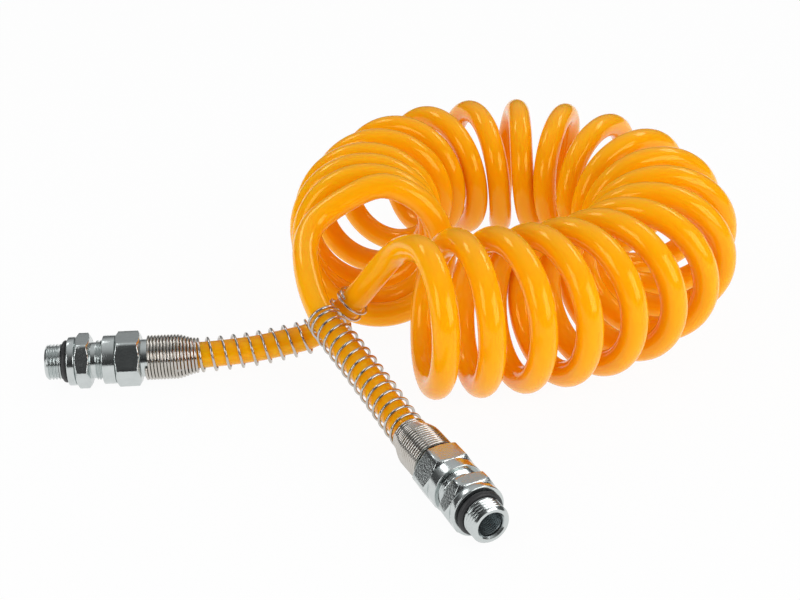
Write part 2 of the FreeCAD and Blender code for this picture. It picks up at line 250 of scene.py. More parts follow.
class MaterialTree(Tree):
    """A new material's node tree, with a Principled shader at its end."""

    def __init__(self, name: str) -> None:
        """Makes the material and finds its shader.

        Args:
            name: The material's name.
        """
        self.material = bpy.data.materials.new(name)
        self.material.use_nodes = True
        super().__init__(self.material.node_tree)
        self.shader = self.tree.nodes["Principled BSDF"]

    def set(self, **values: object) -> None:
        """Sets the shader's sockets, named with underscores for spaces."""
        for name, value in values.items():
            self.feed(self.shader.inputs[name.replace("_", " ")], value)


# Finishes


@dataclass(frozen=True)
class Grain:
    """A noise pattern: cells per metre or per unit of UV, detail, and what it does to a surface."""

    scale: float
    detail: float
    height: float = 0.0
    roughness: float = 0.0


@dataclass(frozen=True)
class Relief:
    """How strongly a Bump node acts, and its distance in metres."""

    strength: float
    distance: float


@dataclass(frozen=True)
class HoseFinish:
    """Glossy orange-yellow polyurethane that light enters a little way."""

    color: Color = (0.965, 0.435, 0.004)
    deep_color: Color = (0.955, 0.385, 0.002)
    sheen_color: Color = (1.0, 0.75, 0.22)
    roughness: float = 0.08
    ior: float = 1.45
    gloss: float = 0.9
    clearness: float = 0.9
    reach: Color = (1.0, 0.55, 0.12)
    depth: float = 12.0
    drift: Grain = Grain(14.0, 2.0)
    skin: Grain = Grain(900.0, 3.0, height=0.3, roughness=0.05)
    waves: Grain = Grain(70.0, 1.0)
    relief: Relief = Relief(0.05, 0.0004)

    def build(self) -> bpy.types.Material:
        """Makes the material: slow colour drift, a faintly uneven skin, light below it.

        Returns:
            The material.
        """
        tree = MaterialTree("hose_polyurethane")
        place = tree.coordinates("Object")
        drift = tree.noise(place, self.drift)
        color = tree.mixed(drift, self.color, self.deep_color)
        skin = tree.noise(place, self.skin)
        waves = tree.noise(place, self.waves)
        normal = tree.bump(skin * self.skin.height + waves, self.relief)
        tree.set(
            Base_Color=color,
            Roughness=self.roughness + skin * self.skin.roughness,
            Normal=normal,
            IOR=self.ior,
            Specular_IOR_Level=self.gloss,
            Specular_Tint=(*self.sheen_color, 1.0),
            Subsurface_Weight=self.clearness,
            Subsurface_Radius=self.reach,
            Subsurface_Scale=self.depth * MM,
        )
        return tree.material


@dataclass(frozen=True)
class ZincFinish:
    """Bright zinc plate over turned or milled steel.

    The mesh's own numbers say where it is milled, and where it is the bore's, in painted shade.
    """

    color: Color = (0.66, 0.70, 0.695)
    dulling: float = 0.86
    # Painted shade: the bore and mouth get a darker grey for the shade deep inside them
    bore_shade_color: Color = (0.34, 0.38, 0.39)
    roughness: float = 0.18
    bore_roughness: float = 0.15
    line_stretch: tuple[float, ...] = (6.0, 1.2, 1.0)
    lines: Grain = Grain(2.0, 4.0, height=0.25)
    clouds: Grain = Grain(220.0, 3.0, height=0.2, roughness=0.12)
    spots: Grain = Grain(1400.0, 2.0, height=0.18, roughness=0.08)
    pits: Grain = Grain(1300.0, 3.0, height=0.85)
    relief: Relief = Relief(0.4, 0.0002)

    def build(self) -> bpy.types.Material:
        """Makes the material: turning rings, cloudy plating, dull spots, milled pits, painted bore
        shade.

        Returns:
            The material.
        """
        tree = MaterialTree("zinc_plate")
        grid = tree.coordinates("UV")
        place = tree.coordinates("Object")
        lines = tree.noise(tree.stretched(grid, self.line_stretch), self.lines)
        clouds = tree.noise(place, self.clouds)
        spots = tree.noise(place, self.spots)
        tint = tree.mixed(clouds, self.color, [self.dulling * part for part in self.color])
        milled = tree.attribute("milled")
        bored = tree.attribute("bored")
        # Painted shade: the bore's points are blended to the darker bore colour
        tint = tree.mixed(bored, tint, self.bore_shade_color)
        pits = tree.noise(place, self.pits)
        height = (
            lines * (1 - milled) * self.lines.height
            + spots * self.spots.height
            + clouds * self.clouds.height
            + pits * milled * self.pits.height
        )
        normal = tree.bump(height, self.relief)
        roughness = (
            self.roughness
            + (clouds - 0.5) * self.clouds.roughness
            + (spots - 0.5) * self.spots.roughness
            + bored * self.bore_roughness
        )
        tree.set(Base_Color=tint, Metallic=1.0, Roughness=roughness, Normal=normal)
        return tree.material


@dataclass(frozen=True)
class WireFinish:
    """Bright drawn spring wire."""

    color: Color = (0.68, 0.66, 0.63)
    stain_color: Color = (0.46, 0.43, 0.38)
    roughness: float = 0.08
    mark_stretch: tuple[float, ...] = (0.5, 12.0, 1.0)
    marks: Grain = Grain(2.0, 3.0, roughness=0.08)
    stains: Grain = Grain(160.0, 2.0)
    relief: Relief = Relief(0.2, 0.0001)

    def build(self) -> bpy.types.Material:
        """Makes the material: draw marks along the wire and slight staining.

        Returns:
            The material.
        """
        tree = MaterialTree("spring_wire")
        grid = tree.coordinates("UV")
        place = tree.coordinates("Object")
        marks = tree.noise(tree.stretched(grid, self.mark_stretch), self.marks)
        tint = tree.mixed(tree.noise(place, self.stains), self.color, self.stain_color)
        normal = tree.bump(marks, self.relief)
        roughness = self.roughness + marks * self.marks.roughness
        tree.set(Base_Color=tint, Metallic=1.0, Roughness=roughness, Normal=normal)
        return tree.material


@dataclass(frozen=True)
class PlainFinish:
    """One colour clouded with another, by the same noise that roughens it."""

    name: str
    color: Color
    cloud_color: Color
    roughness: float
    grain: Grain
    metallic: float = 0.0
    relief: Relief | None = None

    def build(self) -> bpy.types.Material:
        """Makes the material.

        Returns:
            The material.
        """
        tree = MaterialTree(self.name)
        grain = tree.noise(tree.coordinates("Object"), self.grain)
        tint = tree.mixed(grain, self.color, self.cloud_color)
        roughness = self.roughness + grain * self.grain.roughness
        tree.set(Base_Color=tint, Metallic=self.metallic, Roughness=roughness)
        if self.relief:
            tree.set(Normal=tree.bump(grain, self.relief))
        return tree.material


SEAL_RUBBER = PlainFinish(
    "seal_rubber", (0.012, 0.012, 0.013), (0.03, 0.03, 0.032), 0.38,
    Grain(1800.0, 3.0, roughness=0.15), relief=Relief(0.25, 0.0001),
)
# Brass darkened as painted shade, for the rings deep in the fitting's bore
BORE_SHADED_BRASS = PlainFinish(
    "turned_brass", (0.46, 0.37, 0.20), (0.30, 0.24, 0.13), 0.34,
    Grain(300.0, 3.0, roughness=0.25), metallic=1.0,
)


# Surfaces


def mesh_from_grid(
    name: str, grid: np.ndarray, uv: tuple[np.ndarray, np.ndarray], close_ends: bool = True
) -> bpy.types.Object:
    """Makes a mesh object from rows of points, each row a ring.

    Row i and column j of the grid are joined to row i + 1 and column j + 1 by one quad, the last
    column is joined to the first, and the first and last rows get a fan to their own middle when
    the ends are closed.

    Args:
        name: The object's name.
        grid: Points in the row's frame, shaped rows, columns, 3.
        uv: A u value for each row, and a v value for each column edge.
        close_ends: Whether the two end rings are filled.

    Returns:
        The object, linked to the scene, smooth shaded.
    """
    rows, columns, _ = grid.shape
    along, around = uv
    row, column = np.meshgrid(np.arange(rows - 1), np.arange(columns), indexing="ij")
    corners = [(row + i, column + j) for i, j in ((0, 0), (0, 1), (1, 1), (1, 0))]
    quads = np.stack([r * columns + c % columns for r, c in corners], axis=-1)
    quad_uv = np.stack([np.stack([along[r], around[c]], -1) for r, c in corners], axis=-2)
    points = grid.reshape(-1, 3)
    faces = quads.reshape(-1, 4).tolist()
    uvs = [quad_uv.reshape(-1, 2)]
    if close_ends:
        points = np.vstack([points, grid[0].mean(axis=0), grid[-1].mean(axis=0)])
        ring = np.arange(columns)
        after = (ring + 1) % columns
        base = (rows - 1) * columns
        for end, first, second in ((0, after, ring), (-1, base + ring, base + after)):
            middle = np.full(columns, rows * columns - end)
            faces += np.stack([middle, first, second], axis=-1).tolist()
            uvs.append(np.tile([[along[end], 0.5]], (columns * 3, 1)))
    mesh = bpy.data.meshes.new(name)
    mesh.from_pydata(points.tolist(), [], faces)
    layer = mesh.uv_layers.new(name="UVMap")
    layer.data.foreach_set("uv", np.vstack(uvs).ravel())
    mesh.shade_smooth()
    mesh.update()
    return add_object(name, mesh)


@dataclass(frozen=True)
class Course:
    """A line of close points, with its heading and a level and an upright arm along it."""

    points: np.ndarray
    half_chord: float = 1.0

    @property
    def distances(self) -> np.ndarray:
        """How far along the line each point is."""
        steps = np.linalg.norm(np.diff(self.points, axis=0), axis=1)
        return np.concatenate([[0.0], np.cumsum(steps)])

    def at(self, where: np.ndarray) -> tuple[np.ndarray, np.ndarray, np.ndarray]:
        """The centre and the two arms at distances along the line.

        The heading is the chord between two points half a chord before and after. The level arm
        is the heading times the vertical, and the upright arm is the level arm times the
        heading, so neither twists as the line bends.

        Args:
            where: Distances from the line's first point.

        Returns:
            Centres, level arms and upright arms.
        """
        known = self.distances

        def place(distance: np.ndarray) -> np.ndarray:
            """Points at distances, each axis interpolated alone."""
            return np.stack([np.interp(distance, known, self.points[:, k]) for k in range(3)], -1)

        heading = unit(place(where + self.half_chord) - place(where - self.half_chord))
        level = unit(np.cross(heading, UP))
        return place(where), level, np.cross(level, heading)


# Hose


@dataclass(frozen=True)
class FittingPlace:
    """Where a fitting lies: the middle of its end face and the way that it points."""

    name: str
    face: tuple[float, float]
    heading: float
    nut: Body
    stud: Body

    @property
    def outwards(self) -> np.ndarray:
        """The unit direction out of the stud."""
        angle = math.radians(self.heading)
        return np.array([math.cos(angle), math.sin(angle), 0.0])

    def inside(self, depth: float) -> np.ndarray:
        """The point on the fitting's axis at a depth behind its face."""
        return np.array([*self.face, AXIS_HEIGHT]) - self.outwards * depth

    def placed(self, along: np.ndarray, level: np.ndarray, upright: np.ndarray) -> np.ndarray:
        """Points of a piece in the row's frame.

        Args:
            along: Depths behind the fitting's face.
            level: Offsets to the side.
            upright: Offsets upwards.

        Returns:
            The points, with x, y and z as a last axis.
        """
        inwards = -self.outwards
        beside = np.cross(UP, inwards)
        spot = (
            self.inside(0.0)
            + along[..., None] * inwards
            + level[..., None] * beside
            + upright[..., None] * UP
        )
        return to_row(spot)


LEFT = FittingPlace("left", (-158.9, -83.2), 185.4, Body.LEFT_NUT, Body.LEFT_STUD)
FRONT = FittingPlace("front", (33.9, -204.8), 295.9, Body.FRONT_NUT, Body.FRONT_STUD)


@dataclass(frozen=True)
class FittingSizes:
    """Sizes of the stud, the nut and the rings, as in the part's source, and their fine forms.

    The rim is the depth and width of the stud's end bevel, the mouth's edge is depths and
    widenings, and drilled is how near the face and the mouth's deep end the drill's rings come.
    """

    stud_thread: float = 16.0
    thread_pitch: float = 1.5
    thread_depth: float = 0.85
    thread_fade: float = 0.9
    thread_gap: float = 0.3
    seal_gap: float = 0.4
    rows_per_pitch: int = 16
    stud_length: float = 10.0
    chamfer: float = 0.8
    rim: tuple[float, float] = (0.12, 0.15)
    mouth: float = 10.2
    mouth_depth: float = 13.0
    mouth_edge: Places = ((0.9, 0.0), (0.3, 0.5), (0.0, 0.75))
    drilled: tuple[float, float] = (1.2, 0.4)
    drill_step: float = 0.5
    drill_ring: float = 0.24
    bored_margin: float = 0.3
    bore: float = 9.0
    seal_section: float = 2.6
    seal_groove: float = 13.8
    seal_flash: float = 0.06
    seal_flash_width: float = 0.16
    ring: float = 22.0
    ring_width: float = 3.4
    ring_round: float = 0.5
    flats: float = 22.0
    corner_round: float = 0.18
    corner_start: float = 0.95
    corner_slope: float = 30.0
    stud_hex: float = 6.6
    neck_thread: float = 18.0
    neck_relief: float = 16.4
    relief_fillet: float = 0.3
    relief_width: float = 2.3
    neck_exposed: float = 5.5
    neck_hidden: float = 8.5
    collar: float = 22.0
    collar_width: float = 5.5
    collar_round: float = 0.4
    nut_hex: float = 11.2
    nut_thread: float = 10.2
    nut_thread_play: float = 0.1
    lip: float = 1.8
    spigot: float = 17.0
    spigot_length: float = 13.0
    spigot_fillet: float = 0.2
    spigot_chamfer: float = 0.5
    socket_depth: float = 16.8
    socket: float = 6.1
    cone_mouth: float = 8.0
    cone_length: float = 8.94
    hose: float = 12.0
    hose_end: float = 17.7
    nut_play: float = 0.3

    @property
    def stud_hex_start(self) -> float:
        """Where the stud's hexagon begins."""
        return self.stud_length + self.ring_width

    @property
    def neck_start(self) -> float:
        """Where the stud's neck leaves its hexagon."""
        return self.stud_hex_start + self.stud_hex

    @property
    def nut_start(self) -> float:
        """Where the union nut begins."""
        return self.neck_start + self.neck_exposed

    @property
    def nut_hex_start(self) -> float:
        """Where the nut's hexagon begins."""
        return self.nut_start + self.collar_width

    @property
    def nut_hex_end(self) -> float:
        """Where the nut's hexagon ends."""
        return self.nut_hex_start + self.nut_hex

    @property
    def spring_start(self) -> float:
        """Where the spring's head begins."""
        return self.nut_hex_end + self.lip


@dataclass(frozen=True)
class Hose:
    """The whole hose as one cord: a straight end, a free stretch, the coil, and back."""

    diameter: float = FittingSizes.hose
    turns: int = 21
    points_per_turn: int = 16
    axis_places: Places = (
        (6.16, -88.11), (44.39, -84.34), (77.99, -73.15), (108.9, -48.54), (127.07, -7.3),
        (121.6, 41.82), (88.77, 81.2), (43.43, 92.58), (1.94, 72.99), (-16.12, 23.79),
        (-14.02, -13.34), (-8.0, -39.2),
    )
    turns_per_place: float = 2.0
    radii: tuple[float, ...] = (32.0, 31.74, 32.26, 31.6, 30.36, 33.04, 33.6)
    yaws: tuple[float, ...] = (10.8, 7.6, 0.5, 6.0, 7.7, -11.9, -4.8)
    tilts: tuple[float, ...] = (5.4, 3.9, -2.6, 3.4, 0.8, -12.3, -1.4)
    turns_per_change: float = 4.0
    left_unwinding: Places = (
        (-1.0, -68.5, 60.5), (-12.5, -65.0, 44.0), (-25.0, -62.5, 26.5), (-39.5, -65.5, 15.0),
        (-51.5, -68.3, 13.4),
    )
    left_free: Places = ((-66.5, -71.8, 11.4),)
    front_unwinding: Places = (
        (-38.5, -27.0, 58.5), (-44.5, -39.0, 51.0), (-43.0, -55.5, 45.0), (-39.5, -69.0, 38.0),
        (-33.4, -81.8, 30.8), (-27.2, -91.5, 27.6),
    )
    front_free: Places = ((-17.9, -106.05, 22.8), (-7.2, -122.5, 16.2))
    length: float = 4.6
    bend_start: float = 69.8
    straight_point: float = 50.0
    first_point: float = 29.5

    def eased(self, values: Sequence[float], spacing: float, turn: np.ndarray) -> np.ndarray:
        """Values between evenly spaced ones: a cubic whose slope at each is its neighbours'.

        Args:
            values: The evenly spaced values.
            spacing: Turns from one value to the next.
            turn: Where along the coil they are wanted.

        Returns:
            A value for each turn.
        """
        known = np.asarray(values, float)
        slopes = np.gradient(known)
        index = np.clip((turn / spacing).astype(int), 0, len(known) - 2)
        part = turn / spacing - index
        return (
            (2 * part**3 - 3 * part**2 + 1) * known[index]
            + (part**3 - 2 * part**2 + part) * slopes[index]
            + (3 * part**2 - 2 * part**3) * known[index + 1]
            + (part**3 - part**2) * slopes[index + 1]
        )

    def axis(self, turn: np.ndarray) -> np.ndarray:
        """The coil's curled axis, seen from above.

        Args:
            turn: Where along the coil it is wanted, counted in turns.

        Returns:
            A point of the axis, at the height of the floor, for each turn.
        """
        places = np.asarray(self.axis_places)
        columns = [self.eased(places[:, k], self.turns_per_place, turn) for k in range(2)]
        return np.stack([*columns, np.zeros_like(turn)], -1)

    def coil(self) -> np.ndarray:
        """Control points of the coil's turns.

        Each point is on a circle that stands across the curled axis, yawed and tilted a little,
        and rests on the floor. A quadratic spline through steps of an angle a passes inside its
        points by 0.75 + 0.25 cos a, so the circle is larger by that.

        Returns:
            One control point for each step of each turn.
        """
        count = self.turns * self.points_per_turn
        turn = np.arange(count + 1) / self.points_per_turn
        step = FULL_TURN / self.points_per_turn
        swelling = 1.0 / (0.75 + 0.25 * math.cos(step))
        radius, yaw, tilt = (
            self.eased(values, self.turns_per_change, turn)[:, None]
            for values in (self.radii, self.yaws, self.tilts)
        )
        yaw, tilt = np.radians(yaw), np.radians(tilt)
        along = unit(self.axis(turn + NUDGE) - self.axis(turn - NUDGE))
        outwards = np.cross(along, UP)
        sideways = outwards * np.cos(yaw) + along * np.sin(yaw)
        swing = np.sin(FULL_TURN * turn)[:, None] * radius * swelling
        lift = np.cos(FULL_TURN * turn)[:, None] * radius * swelling
        middle = self.diameter / 2 + radius * np.cos(tilt)
        upwards = (middle + lift * np.cos(tilt)) * UP
        return self.axis(turn) + sideways * swing + along * lift * np.sin(tilt) + upwards

    def route(self) -> np.ndarray:
        """The whole cord's control points.

        Returns:
            The points, from the end in the left stud to the end in the front one.
        """
        depths = (self.first_point, self.straight_point, self.bend_start)
        left_end = [LEFT.inside(depth) for depth in depths]
        front_end = [FRONT.inside(depth) for depth in reversed(depths)]
        return np.vstack([
            left_end, self.left_free[::-1], self.left_unwinding[::-1], self.coil(),
            self.front_unwinding, self.front_free, front_end,
        ])

    def build(self, finish: bpy.types.Material) -> tuple[bpy.types.Object, Course]:
        """Makes the hose as a round curve.

        Args:
            finish: Its material.

        Returns:
            The curve, and the line that the spline itself follows, in millimetres.
        """
        points = to_row(self.route())
        data = bpy.data.curves.new("hose", "CURVE")
        data.dimensions = "3D"
        spline = data.splines.new("NURBS")
        spline.points.add(len(points) - 1)
        weighted = np.hstack([points, np.ones((len(points), 1))])
        spline.points.foreach_set("co", weighted.ravel())
        spline.order_u = 3
        spline.use_endpoint_u = True
        spline.use_smooth = True
        data.resolution_u = 5
        piece = add_object("hose", data)
        line = bpy.data.meshes.new_from_object(piece)
        course = np.empty(len(line.vertices) * 3)
        line.vertices.foreach_get("co", course)
        bpy.data.meshes.remove(line)
        data.bevel_depth = self.diameter / 2 * MM
        data.bevel_resolution = 8
        data.use_fill_caps = True
        data.materials.append(finish)
        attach(piece, Body.HOSE.value)
        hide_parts("hose_coil", "left_hose_tail", "front_hose_tail")
        return piece, Course(course.reshape(-1, 3) / MM + MIDDLE)


@dataclass(frozen=True)
class GuardSpring:
    """A spring wound round the hose: a close head on the nut, then open curls."""

    place: FittingPlace
    open_curls: float
    open_pitch: float
    wire: float = 1.3
    head_diameter: float = 20.4
    head_curls: float = 15.5
    straight_curls: float = 9.0
    head_pitch: float = 1.47
    end_pitch: float = 2.2
    widening: float = 1.0
    closing: tuple[float, float] = (1.6, 0.7)
    open_diameter: float = 16.2
    samples: int = 2000
    steps_per_curl: int = 40
    sides: int = 12

    def station(self, curl: np.ndarray) -> tuple[np.ndarray, np.ndarray]:
        """How far behind the face each curl is, and its radius.

        The pitch is steady in the head, widens over one curl, is steady again and closes up at
        the free end, and the depth is its running sum. The radius narrows along a smooth step
        from the head's straight part to its end.

        Args:
            curl: Places along the wire, counted in curls.

        Returns:
            Depths and radii.
        """
        total = self.head_curls + self.open_curls
        fine = np.linspace(0.0, total, self.samples)
        opened = self.head_curls + self.widening
        closing, closed = (total - before for before in self.closing)
        changes = (0.0, self.head_curls, opened, closing, closed, total)
        pitches = np.repeat([self.head_pitch, self.open_pitch, self.end_pitch], 2)
        pitch = np.interp(fine, changes, pitches)
        summed = np.concatenate([[0.0], np.cumsum((pitch[1:] + pitch[:-1]) / 2 * np.diff(fine))])
        depth = FittingSizes().spring_start + self.wire / 2 + np.interp(curl, fine, summed)
        head = np.minimum(curl, self.head_curls)
        taper = (head - self.straight_curls) / (self.head_curls - self.straight_curls)
        share = np.clip(taper, 0.0, 1.0)
        narrowing = share**2 * (3 - 2 * share) * (self.head_diameter - self.open_diameter) / 2
        return depth, (self.head_diameter - self.wire) / 2 - narrowing

    def centre_line(self, course: Course, curl: np.ndarray) -> tuple[np.ndarray, np.ndarray]:
        """The wire's middle line, wound right-handed.

        Args:
            course: The hose's own line.
            curl: Places along the wire, counted in curls.

        Returns:
            The middles, and the unit arms from the hose to them.
        """
        depth, radius = self.station(curl)
        centre, level, upright = course.at(depth - Hose.first_point)
        angle = -FULL_TURN * curl[:, None]
        arm = level * np.cos(angle) + upright * np.sin(angle)
        return centre + arm * radius[:, None], arm

    def build(self, course: Course, finish: bpy.types.Material) -> bpy.types.Object:
        """Makes the wire: a ring of points round its middle line, in the arm and the cross arm.

        Args:
            course: The hose's own line, from its end in this spring's fitting.
            finish: Its material.

        Returns:
            The spring.
        """
        total = self.head_curls + self.open_curls
        count = int(total * self.steps_per_curl) + 1
        curl = np.linspace(0.0, total, count)
        middle, arm = self.centre_line(course, curl)
        ahead, _ = self.centre_line(course, curl + 2 * NUDGE)
        cross_arm = np.cross(unit(ahead - middle), arm)
        angle = (np.arange(self.sides) * FULL_TURN / self.sides)[:, None]
        ring = arm[:, None] * np.cos(angle) + cross_arm[:, None] * np.sin(angle)
        grid = to_row(middle[:, None] + ring * self.wire / 2)
        name = self.place.name + "_guard_spring"
        uv = (Course(middle).distances, np.linspace(0.0, 1.0, self.sides + 1))
        piece = mesh_from_grid(name + "_wire", grid, uv)
        piece.data.materials.append(finish)
        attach(piece, Body.HOSE.value)
        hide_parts(name)
        return piece


# Fittings


class Row(NamedTuple):
    """A row of a turned profile."""

    depth: float
    radius: float
    hexagonal: bool = False
    thread: float = 0.0


def thread_wave(phase: np.ndarray) -> np.ndarray:
    """A thread's form: a flat crest, straight flanks and a root that is rounded a little.

    A saw of the phase, less the crest and over the flank, is clipped to 0 and 1, and loses a
    little of its own square.

    Args:
        phase: Turns of the thread.

    Returns:
        The depth below the crest, in thread depths.
    """
    crest, flank, rounding = 0.14, 0.74, 0.12
    saw = np.abs(2.0 * np.mod(phase, 1.0) - 1.0)
    slope = np.clip((saw - crest) / flank, 0.0, 1.0)
    return slope * (1.0 - rounding * slope)


@dataclass(frozen=True)
class FittingBuilder:
    """Builds one end's stud, nut, thrust ring and seal, all turned about the fitting's axis."""

    place: FittingPlace
    finishes: dict[Slot, bpy.types.Material]
    sizes: FittingSizes = field(default_factory=FittingSizes)
    facets_per_side: int = 14
    beside_corner: float = 0.9
    clear_of_corner: float = 4.0
    sharp_edge: float = 32.0
    corner_rows: int = 9
    round_rows: int = 5
    seal_rows: int = 33

    def angles(self) -> np.ndarray:
        """Column angles, closer together beside each corner of the hexagon.

        Returns:
            The angles in radians, from a corner once round.
        """
        near, clear, side = self.beside_corner, self.clear_of_corner, 60.0
        inner = np.linspace(clear, side - clear, self.facets_per_side - 3)
        one_side = np.concatenate([[0.0, near], inner, [side - near]])
        return np.radians((one_side + side * np.arange(6)[:, None]).ravel())

    def hexagon(self, angle: np.ndarray) -> np.ndarray:
        """A hexagon with slightly rounded corners, lying on a flat.

        The radius is half the flats over the cosine of the angle from the nearest flat's middle,
        cut off a little short of the corners.

        Args:
            angle: Angles round the axis.

        Returns:
            The radius at each.
        """
        folded = np.abs(np.mod(angle, math.pi / 3) - math.pi / 6)
        sharp = self.sizes.flats / 2 / np.cos(folded)
        return np.minimum(sharp, self.sizes.flats / math.sqrt(3) - self.sizes.corner_round)

    def profile(self, name: str, rows: Sequence[Row]) -> bpy.types.Object:
        """Carries a closed profile round the axis.

        A row's radius is its own, cut down to the hexagon where the row is hexagonal, and less
        the thread's wave times the row's thread depth, whose phase goes with depth and angle.
        The mesh says which points are milled, and which are the bore's.

        Args:
            name: The piece's name.
            rows: The profile, the last row the same as the first.

        Returns:
            The mesh object.
        """
        depth, own, six, cut = (np.array(column)[:, None] for column in zip(*rows))
        angle = self.angles()
        phase = depth / self.sizes.thread_pitch + angle / FULL_TURN
        shaped = np.where(six, np.minimum(own, self.hexagon(angle)), own)
        reach = shaped - cut * thread_wave(phase)
        along = np.broadcast_to(depth, reach.shape)
        grid = self.place.placed(along, reach * np.cos(angle), reach * np.sin(angle))
        uv = (depth[:, 0] * UV_PER_MM, np.append(angle, FULL_TURN) / FULL_TURN)
        piece = mesh_from_grid(name, grid, uv, close_ends=False)
        # The bore's points are marked for the zinc finish's painted shade
        inside = own < self.sizes.mouth / 2 + self.sizes.bored_margin
        for label, marked in (("milled", six), ("bored", inside)):
            layer = piece.data.attributes.new(label, "FLOAT", "POINT")
            layer.data.foreach_set("value", np.repeat(marked.astype(np.float32), len(angle)))
        return piece

    def threaded_rows(self, start: float, end: float, radius: float) -> list[Row]:
        """Rows of a thread whose depth fades in and out at its two ends.

        Args:
            start: Where the thread starts.
            end: Where it ends.
            radius: Its outside radius.

        Returns:
            The rows, from start to end.
        """
        s = self.sizes
        count = int((end - start) / s.thread_pitch * s.rows_per_pitch) + 1
        rows = []
        for depth in np.linspace(start, end, count):
            near = min(depth - start + s.thread_gap, end - depth) / s.thread_fade
            share = min(max(near, 0.0), 1.0)
            rows.append(Row(float(depth), radius, thread=s.thread_depth * share))
        return rows

    def drilled_rows(self, radius: float) -> list[Row]:
        """Rows of the faint rings that the drill leaves in the stud's mouth.

        Args:
            radius: The mouth's radius.

        Returns:
            The rows, from the deep end outwards.
        """
        s = self.sizes
        outer, inner = s.drilled
        depths = np.arange(s.mouth_depth - inner, outer, -s.drill_step)
        return [Row(float(d), radius + s.drill_ring * (i % 2)) for i, d in enumerate(depths)]

    def hexagon_rows(self, start: float, width: float) -> list[Row]:
        """Rows of a hexagon whose corners are turned off at a slope at both ends.

        Args:
            start: Where the hexagon starts.
            width: How long it is.

        Returns:
            The rows, from start to end.
        """
        s = self.sizes
        corner = s.flats / math.sqrt(3)
        face = s.corner_start * s.flats / 2
        slope = (corner - face) * math.tan(math.radians(s.corner_slope))
        shares = np.linspace(0.0, 1.0, self.corner_rows)
        cuts = [(slope * t, face + (corner - face) * t) for t in shares]
        ends = [(start + inset, radius) for inset, radius in cuts]
        ends += [(start + width - inset, radius) for inset, radius in cuts[::-1]]
        return [Row(depth, radius, hexagonal=True) for depth, radius in ends]

    def rounded(self, depth: float, radius: float, size: float, rising: bool) -> list[Row]:
        """Rows of a quarter round between an end face and an outside.

        Args:
            depth: The end face's depth.
            radius: The outside's radius.
            size: The rounding's radius.
            rising: Whether it goes from the face to the outside.

        Returns:
            The rows, in order of depth.
        """
        way = 1 if rising else -1
        turns = np.linspace(0.0, math.pi / 2, self.round_rows)[::way]
        return [
            Row(depth + way * size * (1.0 - math.cos(t)), radius - size * (1.0 - math.sin(t)))
            for t in turns
        ]

    def stud(self) -> bpy.types.Object:
        """Makes the stud body with both its threads and its stepped bore.

        Returns:
            The piece.
        """
        s = self.sizes
        widths = (s.stud_thread, s.seal_groove, s.neck_thread, s.neck_relief, s.mouth)
        thread, groove, neck, relief, mouth = (width / 2 for width in widths)
        groove_start = s.stud_length - s.seal_section
        neck_end = s.nut_start + s.neck_hidden
        rim_depth, rim_width = s.rim
        rows = [Row(s.mouth_depth, s.bore / 2), Row(s.mouth_depth, mouth)]
        rows += self.drilled_rows(mouth)
        rows += [Row(depth, mouth + wider) for depth, wider in s.mouth_edge]
        rows += [Row(0.0, thread - s.chamfer - rim_width), Row(rim_depth, thread - s.chamfer)]
        rows += self.threaded_rows(s.chamfer, groove_start - s.seal_gap, thread)
        rows += [
            Row(groove_start, groove), Row(s.stud_length, groove), Row(s.stud_length, thread),
            Row(s.stud_hex_start, thread),
        ]
        rows += self.hexagon_rows(s.stud_hex_start, s.stud_hex)
        fillet = s.relief_fillet
        relief_end = s.neck_start + s.relief_width
        rows += [
            Row(s.neck_start, relief + fillet), Row(s.neck_start + fillet, relief),
            Row(relief_end, relief),
        ]
        rows += self.threaded_rows(relief_end + s.thread_gap, neck_end, neck)
        rows += [
            Row(neck_end, s.cone_mouth), Row(neck_end - s.cone_length, s.socket),
            Row(s.socket_depth, s.socket), Row(s.socket_depth, s.bore / 2), rows[0],
        ]
        return self.dressed("stud_body", "threaded", rows, self.place.stud)

    def nut(self) -> bpy.types.Object:
        """Makes the union nut: round collar, hexagon, and the spigot in the spring.

        Returns:
            The piece.
        """
        s = self.sizes
        collar, spigot = s.collar / 2, s.spigot / 2
        bore = s.hose / 2 + s.nut_play
        inner = s.neck_thread / 2 + s.nut_thread_play
        thread_end = s.nut_start + s.nut_thread
        spigot_end = s.spring_start + s.spigot_length
        fillet, chamfer = s.spigot_fillet, s.spigot_chamfer
        rows = [Row(s.nut_start, inner), Row(s.nut_start, collar - s.collar_round)]
        rows += self.rounded(s.nut_start, collar, s.collar_round, True)
        rows += [Row(s.nut_hex_start, collar)]
        rows += self.hexagon_rows(s.nut_hex_start, s.nut_hex)
        rows += [
            Row(s.nut_hex_end, spigot + fillet), Row(s.nut_hex_end + fillet, spigot),
            Row(spigot_end - chamfer, spigot), Row(spigot_end, spigot - chamfer),
            Row(spigot_end, bore), Row(thread_end + inner - bore, bore), Row(thread_end, inner),
            rows[0],
        ]
        return self.dressed("union_nut", "turned", rows, self.place.nut)

    def thrust_ring(self) -> bpy.types.Object:
        """Makes the ring that backs the seal.

        Returns:
            The piece.
        """
        s = self.sizes
        outer, inner = s.ring / 2, s.stud_thread / 2
        rows = [Row(s.stud_length, inner), Row(s.stud_length, outer - s.ring_round)]
        rows += self.rounded(s.stud_length, outer, s.ring_round, True)
        rows += self.rounded(s.stud_hex_start, outer, s.ring_round, False)
        rows += [Row(s.stud_hex_start, inner), rows[0]]
        return self.dressed("thrust_ring", "turned", rows, self.place.stud)

